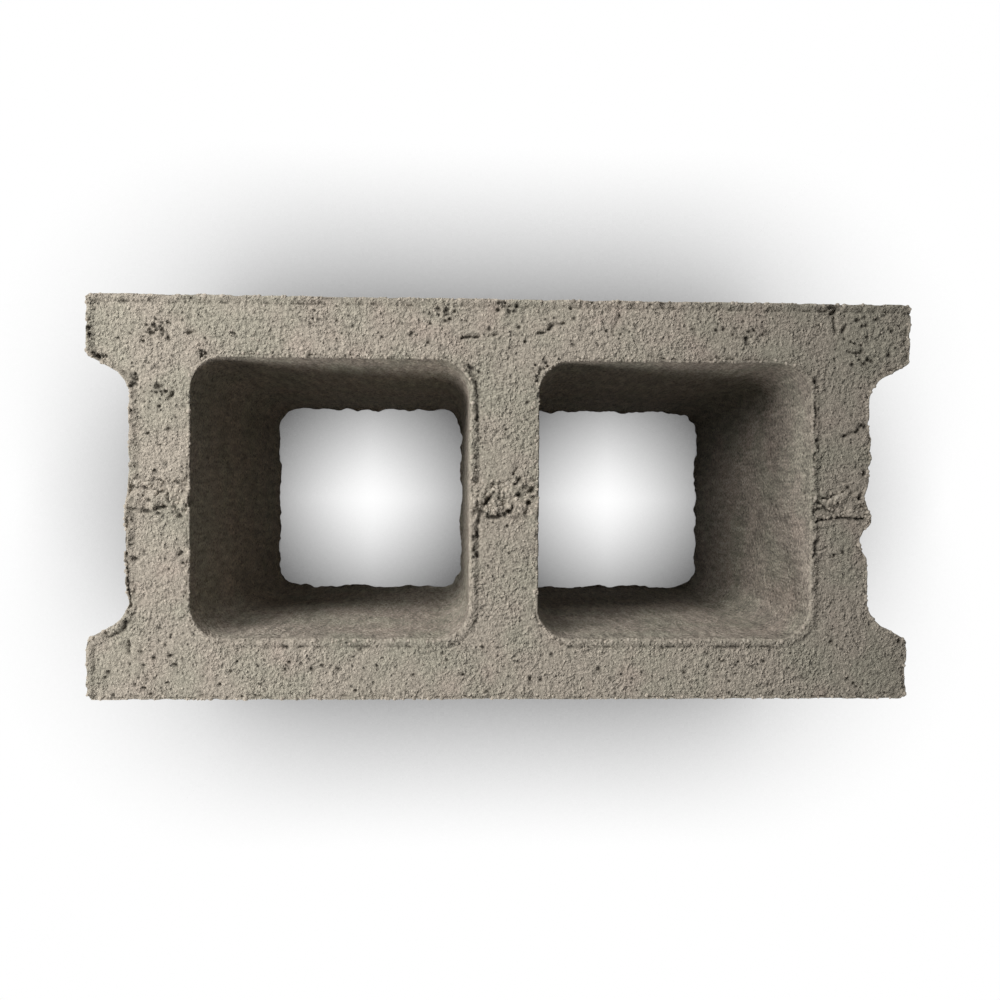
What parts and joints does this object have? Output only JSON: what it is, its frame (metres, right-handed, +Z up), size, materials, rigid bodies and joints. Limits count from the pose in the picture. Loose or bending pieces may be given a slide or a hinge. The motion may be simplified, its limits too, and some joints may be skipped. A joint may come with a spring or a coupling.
{
  "type": "concrete block",
  "caption": "Hollow concrete building block with square tapered cores open from top to bottom and a recess in each end, for laying in mortar.",
  "frame": {"origin": "middle of the block's footprint, on its underside, which is the bed face with the thicker walls", "axes": "+X along the block's length, +Y across its width from face shell to face shell, +Z up along the cores, towards the bed face with the thinner walls"},
  "size_m": [0.39, 0.19, 0.19],
  "materials": {
    "concrete": "rough dry-cast concrete, open granular texture"
  },
  "bodies": {
    "root": {"concrete_block": "concrete"}
  },
  "joints": []
}
